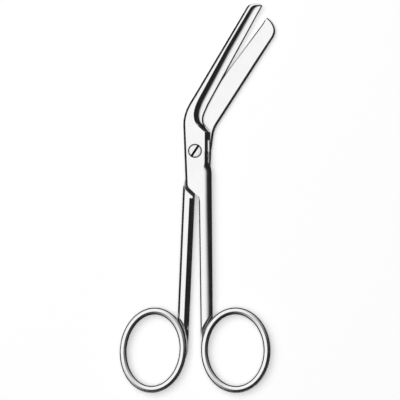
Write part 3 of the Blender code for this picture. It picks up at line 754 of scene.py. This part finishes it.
def screw_profile(grow, foot, top):
    """The screw's outline from foot to head, grown by a clearance where it is the hole."""
    face = 2 * JOINT_DEPTH
    land = face - SCREW_HEAD_LAND - grow
    cone = land - SCREW_HEAD_CONE
    seat = JOINT_DEPTH - MEETING_GAP / 2
    head, neck, thread = (
        radius + grow for radius in (SCREW_HEAD_RADIUS, SCREW_NECK_RADIUS, SCREW_THREAD_RADIUS)
    )
    lower = [(0, foot), (thread, foot), (thread, seat), (neck, seat + grow)]
    return lower + [(neck, cone), (head, land)] + top(head, face)


def crowned_top(head, face):
    """The head's broken edge and a low crown."""
    flat = head - SCREW_HEAD_BREAK
    start = face - SCREW_HEAD_BREAK_DEPTH
    turns = spread(0, pi / 2, SCREW_CROWN_STEPS)
    crown = [(flat * cos(a), face + SCREW_HEAD_CROWN * sin(a) ** 2) for a in turns]
    return [(head, start)] + crown[:-1] + [(0, face + SCREW_HEAD_CROWN)]


def open_top(head, face):
    """A hole with a broken edge that runs out past the outer face."""
    mouth, above = head + SCREW_MOUTH_WIDTH, face + JOINT_DEPTH
    return [(head, face - SCREW_MOUTH_DEPTH), (mouth, face), (mouth, above), (0, above)]


def slot_cutter():
    """The screw's slot: upright sides and a floor that is lowest along the middle."""
    wide, long, high = SCREW_SLOT_WIDTH / 2, SCREW_HEAD_RADIUS + LAP_MARGIN / 2, 2 * JOINT_DEPTH
    foot = high - SCREW_SLOT_DEPTH
    outline = [(-wide, high + JOINT_DEPTH), (-wide, foot + SCREW_SLOT_RISE), (0.0, foot)]
    outline += [(wide, foot + SCREW_SLOT_RISE), (wide, high + JOINT_DEPTH)]
    n = len(outline)
    points = [(x, y, z) for y in (-long, long) for x, z in outline]
    faces = [tuple(range(n)), tuple(range(2 * n - 1, n - 1, -1))]
    faces += [(i, (i + 1) % n, n + (i + 1) % n, n + i) for i in range(n)]
    mesh = bpy.data.meshes.new("slot")
    mesh.from_pydata(points, [], faces)
    outward(mesh)
    mesh.transform(Matrix.Rotation(SCREW_SLOT_ANGLE, 4, "Z"))
    return mesh


def new_object(name, mesh):
    shape = bpy.data.objects.new(name, mesh)
    bpy.context.scene.collection.objects.link(shape)
    return shape


def carved(name, start, steps):
    """start after the Boolean steps, as a mesh of its own. The helpers are removed."""
    shape = new_object(name, start)
    helpers = []
    for other, operation in steps:
        helper = new_object(name + "_helper", other)
        helpers.append(helper)
        modifier = shape.modifiers.new("cut", "BOOLEAN")
        modifier.operation = operation
        modifier.object = helper
        modifier.solver = "EXACT"
    bpy.context.view_layer.update()
    depsgraph = bpy.context.evaluated_depsgraph_get()
    result = bpy.data.meshes.new_from_object(shape.evaluated_get(depsgraph))
    for shape in helpers + [shape]:
        bpy.data.objects.remove(shape)
    return result


def in_order(mesh):
    """The same mesh with its points and faces in an order that is the same on each run."""
    points = np.zeros(len(mesh.vertices) * 3, np.float32)
    mesh.vertices.foreach_get("co", points)
    points = points.reshape(-1, 3)
    order = np.lexsort(points.T)
    places = np.argsort(order).tolist()
    faces = []
    for face in mesh.polygons:
        loop = [places[i] for i in face.vertices]
        first = loop.index(min(loop))
        faces.append(tuple(loop[first:] + loop[:first]))
    ordered = bpy.data.meshes.new(mesh.name)
    ordered.from_pydata(points[order].tolist(), [], sorted(faces))
    return ordered


def close_seams(mesh):
    """Closes the slivers that the cuts leave along their seams."""
    ordered = in_order(mesh)
    work = bmesh.new()
    work.from_mesh(ordered)
    bpy.data.meshes.remove(ordered)
    bmesh.ops.remove_doubles(work, verts=work.verts, dist=SEAM_CLEANING)
    bmesh.ops.dissolve_degenerate(work, edges=work.edges, dist=SEAM_CLEANING)
    bmesh.ops.connect_verts_nonplanar(work, faces=work.faces, angle_limit=FLATNESS_LIMIT)
    work.to_mesh(mesh)
    work.free()


def shade(mesh, sharp):
    """Edges sharper than the angle stay sharp, and level faces are flat."""
    mesh.shade_smooth()
    mesh.set_sharp_from_angle(angle=sharp)
    for face in mesh.polygons:
        face.use_smooth = abs(face.normal.z) < LEVEL_FACE


def along_and_across(half, points):
    """How far points lie along and across the shank, the joint, the bend and the blade."""
    side = 1 if half.bend_angle > 0 else -1
    angle = abs(half.bend_angle)
    x, y = points[:, 0] * side, points[:, 1]
    along, across = y.copy(), x.copy()
    turn = np.arctan2(y - half.bend_start, BEND_RADIUS - x)
    bent = (y > half.bend_start) & (turn < angle)
    along[bent] = half.bend_start + BEND_RADIUS * turn[bent]
    across[bent] = BEND_RADIUS - np.hypot(BEND_RADIUS - x, y - half.bend_start)[bent]
    straight = (y > half.bend_start) & (turn >= angle)
    end_x = BEND_RADIUS * (1 - cos(angle))
    end_y = half.bend_start + BEND_RADIUS * sin(angle)
    along[straight] = half.bend_end + ((x - end_x) * sin(angle) + (y - end_y) * cos(angle))[straight]
    across[straight] = ((x - end_x) * cos(angle) - (y - end_y) * sin(angle))[straight]
    return along, across * side


def round_the_ring(ring, points):
    """Which points lie on the ring's band, and how far they lie round it and across it. The two sides mirror
    each other, so that the marks have no seam."""
    dx, dy = points[:, 0] - ring.x, points[:, 1] - ring.y
    u = dx * cos(ring.tilt) + dy * sin(ring.tilt)
    v = -dx * sin(ring.tilt) + dy * cos(ring.tilt)
    radius = np.sqrt((u / ring.half_width) ** 2 + (v / ring.half_length) ** 2)
    mean = (ring.half_width + ring.half_length) / 2
    across = (radius - 1) * mean
    on_ring = (np.abs(across) < RING_BAND_WIDTH * 0.55) & (points[:, 1] < ring.y + ring.half_length * 1.1)
    around = np.abs(np.arctan2(v / ring.half_length, u / ring.half_width)) * mean
    return on_ring, around, across


def add_grain(mesh, half):
    """Stores for each point how far it lies along and across the piece, for the direction of the polishing,
    and how much it belongs to the hollow-ground bevel."""
    points = np.zeros(len(mesh.vertices) * 3, np.float32)
    mesh.vertices.foreach_get("co", points)
    points = points.reshape(-1, 3).astype(float)
    along, across = along_and_across(half, points)
    on_ring, around, across_band = round_the_ring(half.ring, points)
    along[on_ring] = around[on_ring]
    across[on_ring] = across_band[on_ring]
    grain = (np.stack([along, across, points[:, 2]], 1) * 1000).astype(np.float32)
    layer = mesh.attributes.new("grain", "FLOAT_VECTOR", "POINT")
    layer.data.foreach_set("vector", grain.ravel())
    ground = np.zeros(len(points), np.float32)
    for i, (s, offset, height) in enumerate(zip(along, across, points[:, 2])):
        if s > half.heel_at and not on_ring[i] and height > MEETING_GAP:
            ridge = half.ridge(min(s, half.tip - 1e-6))
            ground[i] = clamp((offset - ridge) / GROUND_RUN_IN)
    layer = mesh.attributes.new("ground", "FLOAT", "POINT")
    layer.data.foreach_set("value", ground)


def build_half(half, mate, placing, body, hole, material):
    """One half: the forging with its ring, milled, bored and polished. placing puts it where it rests."""
    steps = [(finger_ring(half), "UNION"), (lap_cut(half, mate), "DIFFERENCE")]
    mesh = carved(half.name + "_steel", forging(half, mate), steps)
    mesh.transform(placing)
    mesh = carved(half.name + "_steel", mesh, [(hole.copy(), "DIFFERENCE")])
    close_seams(mesh)
    mesh.transform(placing.inverted())
    add_grain(mesh, half)
    mesh.transform(placing)
    shade(mesh, SHARP_ANGLE)
    shape = new_object(half.name + "_steel", mesh)
    mesh.materials.clear()
    mesh.materials.append(material)
    keep_flats_flat(shape)
    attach(shape, body)
    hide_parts(half.name)


def keep_flats_flat(shape):
    """Lets the large faces lead the shading where they meet narrow ones."""
    modifier = shape.modifiers.new("weighted_normals", "WEIGHTED_NORMAL")
    modifier.keep_sharp = True
    modifier.weight = FLAT_WEIGHT


def build_screw(material):
    """The slotted screw, with its edges rounded a little."""
    body = turned("screw_body", screw_profile(0.0, 0.0, crowned_top), SCREW_STEPS)
    mesh = carved("joint_screw_steel", body, [(slot_cutter(), "DIFFERENCE")])
    close_seams(mesh)
    shade(mesh, SCREW_SHARP_ANGLE)
    shape = new_object("joint_screw_steel", mesh)
    mesh.materials.clear()
    mesh.materials.append(material)
    bevel = shape.modifiers.new("edges", "BEVEL")
    bevel.width = SCREW_EDGE_BEVEL
    bevel.segments = 2
    bevel.limit_method = "ANGLE"
    bevel.angle_limit = SCREW_EDGE_ANGLE
    bevel.harden_normals = False
    keep_flats_flat(shape)
    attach(shape, "back_body")
    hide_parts("joint_screw")


class Nodes:
    """A short way to lay out a material's nodes."""

    def __init__(self, tree):
        self.tree = tree

    def new(self, kind, **settings):
        node = self.tree.nodes.new(kind)
        for key, value in settings.items():
            setattr(node, key, value)
        return node

    def link(self, a, b):
        self.tree.links.new(a, b)

    def math(self, operation, a, b=None, clamped=False):
        node = self.new("ShaderNodeMath", operation=operation, use_clamp=clamped)
        for socket, value in zip(node.inputs, (a, b)):
            if value is None:
                continue
            if isinstance(value, (int, float)):
                socket.default_value = value
            else:
                self.link(value, socket)
        return node.outputs[0]

    def noise(self, vector, scale, detail=3.0, roughness=0.55, dimensions="3D"):
        node = self.new("ShaderNodeTexNoise", noise_dimensions=dimensions)
        node.inputs["Scale"].default_value = scale
        node.inputs["Detail"].default_value = detail
        node.inputs["Roughness"].default_value = roughness
        self.link(vector, node.inputs["Vector"])
        return node.outputs["Fac"]

    def stretched(self, vector, scale):
        node = self.new("ShaderNodeVectorMath", operation="MULTIPLY")
        self.link(vector, node.inputs[0])
        node.inputs[1].default_value = scale
        return node.outputs[0]

    def ramp(self, value, low, high, out_low, out_high):
        node = self.new("ShaderNodeMapRange", clamp=True)
        node.inputs["From Min"].default_value = low
        node.inputs["From Max"].default_value = high
        node.inputs["To Min"].default_value = out_low
        node.inputs["To Max"].default_value = out_high
        self.link(value, node.inputs["Value"])
        return node.outputs["Result"]

    def tint(self, share, colors):
        node = self.new("ShaderNodeMix", data_type="RGBA")
        self.link(share, node.inputs[0])
        node.inputs[6].default_value, node.inputs[7].default_value = colors
        return node.outputs[2]

    def bump(self, height, strength, distance, shader):
        node = self.new("ShaderNodeBump")
        node.inputs["Strength"].default_value = strength
        node.inputs["Distance"].default_value = distance
        self.link(height, node.inputs["Height"])
        self.link(node.outputs[0], shader.inputs["Normal"])

    def mix(self, share, a, b):
        node = self.new("ShaderNodeMix", data_type="FLOAT")
        for socket, value in zip((node.inputs[0], node.inputs[2], node.inputs[3]), (share, a, b)):
            if isinstance(value, (int, float)):
                socket.default_value = value
            else:
                self.link(value, socket)
        return node.outputs[0]


def new_material(name):
    material = bpy.data.materials.new(name)
    material.use_nodes = True
    shader = material.node_tree.nodes["Principled BSDF"]
    shader.inputs["Metallic"].default_value = 1.0
    return material, shader, Nodes(material.node_tree)


def paint_crevice_shade(nodes, shader, color, rough):
    """Painted shade: the base colour goes to near black, and the steel duller, where ambient occlusion finds
    surfaces close by: the slot, the joint's groove and the creases.
    """
    hidden = nodes.new("ShaderNodeAmbientOcclusion", samples=12)
    hidden.inputs["Distance"].default_value = PAINTED_SHADE_REACH
    share = nodes.ramp(hidden.outputs["AO"], 0.35, 0.85, 1.0, 0.0)
    dark = nodes.new("ShaderNodeMix", data_type="RGBA")
    nodes.link(share, dark.inputs[0])
    nodes.link(color, dark.inputs[6])
    dark.inputs[7].default_value = PAINTED_SHADE_COLOR
    nodes.link(dark.outputs[2], shader.inputs["Base Color"])
    nodes.link(nodes.mix(share, rough, CREVICE_SHADE_ROUGHNESS), shader.inputs["Roughness"])


def instrument_steel():
    """Polished stainless steel with fine lines along the piece and grinding lines across the bevels."""
    material, shader, nodes = new_material("instrument_steel_polished")
    grain = nodes.new("ShaderNodeAttribute", attribute_name="grain").outputs["Vector"]
    ground = nodes.new("ShaderNodeAttribute", attribute_name="ground").outputs["Fac"]
    along = nodes.noise(nodes.stretched(grain, (0.35, 9.0, 9.0)), 1.6, 4.0, 0.6)
    across = nodes.noise(nodes.stretched(grain, (11.0, 0.5, 0.5)), 1.4, 4.0, 0.6)
    lines = nodes.mix(ground, along, across)
    patches = nodes.noise(grain, 0.22, 3.0, 0.5)
    wear = nodes.ramp(patches, 0.35, 0.65, -0.02, 0.03)
    rough = nodes.math("ADD", nodes.ramp(lines, 0.3, 0.7, 0.09, 0.16), wear)
    lightness = nodes.math("ADD", patches, nodes.math("MULTIPLY", lines, 0.5))
    # Painted shade: the colour darkens to near black in crevices, gaps and the joint's groove.
    paint_crevice_shade(nodes, shader, nodes.tint(nodes.ramp(lightness, 0.5, 1.0, 0, 1), STEEL_TINTS), rough)
    waviness = nodes.noise(grain, 0.12, 2.0, 0.4)
    height = nodes.math("ADD", nodes.math("MULTIPLY", lines, 0.12), nodes.math("MULTIPLY", waviness, 2.0))
    nodes.bump(height, 0.5, 0.00003, shader)
    return material


def screw_steel():
    """Turned steel with fine rings round the axis."""
    material, shader, nodes = new_material("screw_steel_turned")
    where = nodes.new("ShaderNodeTexCoord").outputs["Object"]
    split = nodes.new("ShaderNodeSeparateXYZ")
    nodes.link(where, split.inputs[0])
    squares = [nodes.math("POWER", split.outputs[axis], 2.0) for axis in (0, 1)]
    square = nodes.math("ADD", *squares)
    radius = nodes.math("MULTIPLY", nodes.math("SQRT", square), 1000.0)
    spot = nodes.new("ShaderNodeCombineXYZ")
    nodes.link(radius, spot.inputs[0])
    nodes.link(nodes.math("MULTIPLY", split.outputs[2], 1000.0), spot.inputs[2])
    rings = nodes.noise(spot.outputs[0], 9.0, 3.0, 0.6)
    patches = nodes.noise(where, 900.0, 3.0, 0.5)
    wear = nodes.ramp(patches, 0.35, 0.65, -0.02, 0.04)
    rough = nodes.math("ADD", nodes.ramp(rings, 0.3, 0.7, 0.17, 0.27), wear)
    # Painted shade: the colour darkens to near black in the slot and where the head meets the joint.
    paint_crevice_shade(nodes, shader, nodes.tint(nodes.ramp(patches, 0.3, 0.7, 0, 1), SCREW_TINTS), rough)
    nodes.bump(rings, 0.4, 0.00001, shader)
    return material


def build_floor():
    """A plain white floor that glows a little where it is seen, mirrored or looked at through glass."""
    bpy.ops.mesh.primitive_plane_add(size=FLOOR_SIZE, location=(0, 0, 0))
    floor = bpy.context.object
    floor.name = "floor"
    material = bpy.data.materials.new("floor_white")
    material.use_nodes = True
    shader = material.node_tree.nodes["Principled BSDF"]
    shader.inputs["Base Color"].default_value = FLOOR_COLOR
    shader.inputs["Roughness"].default_value = 0.9
    shader.inputs["Specular IOR Level"].default_value = 0.0
    shader.inputs["Emission Color"].default_value = (1, 1, 1, 1)
    nodes = Nodes(material.node_tree)
    path = nodes.new("ShaderNodeLightPath").outputs
    seen = nodes.math("ADD", path["Is Camera Ray"], path["Is Glossy Ray"], True)
    seen = nodes.math("ADD", seen, path["Is Transmission Ray"], True)
    nodes.link(nodes.math("MULTIPLY", seen, FLOOR_GLOW), shader.inputs["Emission Strength"])
    floor.data.materials.append(material)


def build_light():
    """A soft overhead light that fades to a dark room, and a soft lamp at the upper left."""
    world = bpy.data.worlds.new("studio")
    bpy.context.scene.world = world
    world.use_nodes = True
    nodes = Nodes(world.node_tree)
    background = world.node_tree.nodes["Background"]
    background.inputs["Color"].default_value = (1, 1, 1, 1)
    direction = nodes.new("ShaderNodeTexCoord").outputs["Generated"]
    towards = nodes.new("ShaderNodeVectorMath", operation="DOT_PRODUCT")
    nodes.link(direction, towards.inputs[0])
    towards.inputs[1].default_value = SOFTBOX_AXIS
    softbox = nodes.new("ShaderNodeMapRange", interpolation_type="SMOOTHSTEP")
    softbox.inputs["From Min"].default_value = cos(SOFTBOX_DARK_FROM)
    softbox.inputs["From Max"].default_value = cos(SOFTBOX_BRIGHT_TO)
    softbox.inputs["To Min"].default_value = ROOM_LEVEL
    softbox.inputs["To Max"].default_value = SOFTBOX_LEVEL
    nodes.link(towards.outputs["Value"], softbox.inputs["Value"])
    nodes.link(softbox.outputs["Result"], background.inputs["Strength"])

    lamp = bpy.data.lights.new("key", "AREA")
    lamp.shape = "DISK"
    lamp.size = LAMP_SIZE
    lamp.energy = LAMP_POWER
    key = bpy.data.objects.new("key", lamp)
    key.location = LAMP_PLACE
    key.visible_glossy = False
    key.rotation_euler = (Vector((*FRAME_CENTRE, 0)) - key.location).to_track_quat("-Z", "Y").to_euler()
    bpy.context.scene.collection.objects.link(key)


def build_camera():
    """Straight above the scissors, as in the photograph."""
    lens = bpy.data.cameras.new("camera")
    lens.lens = CAMERA_LENS
    lens.sensor_width = CAMERA_SENSOR
    lens.sensor_fit = "HORIZONTAL"
    camera = bpy.data.objects.new("camera", lens)
    distance = FRAME_WIDTH * CAMERA_LENS / CAMERA_SENSOR
    camera.location = (*FRAME_CENTRE, distance + JOINT_DEPTH)
    lens.clip_start = 0.01
    lens.clip_end = 20.0
    bpy.context.scene.collection.objects.link(camera)
    bpy.context.scene.camera = camera


FRONT = Half(
    name="front_half",
    bend_start=0.0095,
    bend_angle=radians(29.7),
    blade_length=0.0414,
    spine_lag=0.0,
    root_spine=0.00313,
    root_edge=0.00313,
    tip_spine=0.0024,
    tip_edge=0.0024,
    tip_rounding=0.0031,
    bevel_width=0.00423,
    joint_spine=0.00398,
    joint_edge=0.00563,
    heel_at=0.0070,
    diagonal_y=-0.0126,
    swell_start=-0.004,
    swell_end=-0.0085,
    shank_inner_x=FRONT_SHANK_INNER_X,
    shank_top_width=0.00488,
    shank_end_width=0.00452,
    shank_proud=0.0,
    ring=ring_beside(FRONT_RING_NEAR_X, 0.01165, radians(1.0)),
)

BACK = Half(
    name="back_half",
    bend_start=-0.0002,
    bend_angle=radians(-34.45),
    blade_length=0.0451,
    spine_lag=0.0023,
    root_spine=0.0047,
    root_edge=0.0045,
    tip_spine=0.0034,
    tip_edge=0.00267,
    tip_rounding=0.0042,
    bevel_width=0.0051,
    joint_spine=0.0061,
    joint_edge=0.00355,
    heel_at=0.0059,
    diagonal_y=-0.0104,
    swell_start=-0.0095,
    swell_end=-0.0138,
    shank_inner_x=SHANK_GAP - FRONT_SHANK_INNER_X,
    shank_top_width=0.00455,
    shank_end_width=0.00437,
    shank_proud=0.00055,
    ring=ring_beside(RING_GAP - FRONT_RING_NEAR_X, 0.0111, radians(5.9)),
)


def main():
    """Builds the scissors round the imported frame."""
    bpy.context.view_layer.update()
    build_camera()
    build_floor()
    build_light()
    steel, turned_steel = instrument_steel(), screw_steel()
    hole = turned("screw_hole", screw_profile(SCREW_CLEARANCE, -JOINT_DEPTH, open_top), SCREW_STEPS)
    meeting_plane = Matrix.Translation((0, 0, JOINT_DEPTH))
    build_half(FRONT, BACK, meeting_plane, "front_body", hole, steel)
    turned_over = meeting_plane @ Matrix.Rotation(pi, 4, "Y")
    build_half(BACK, FRONT, turned_over, "back_body", hole, steel)
    build_screw(turned_steel)
    bpy.context.scene.view_settings.view_transform = "Standard"


main()
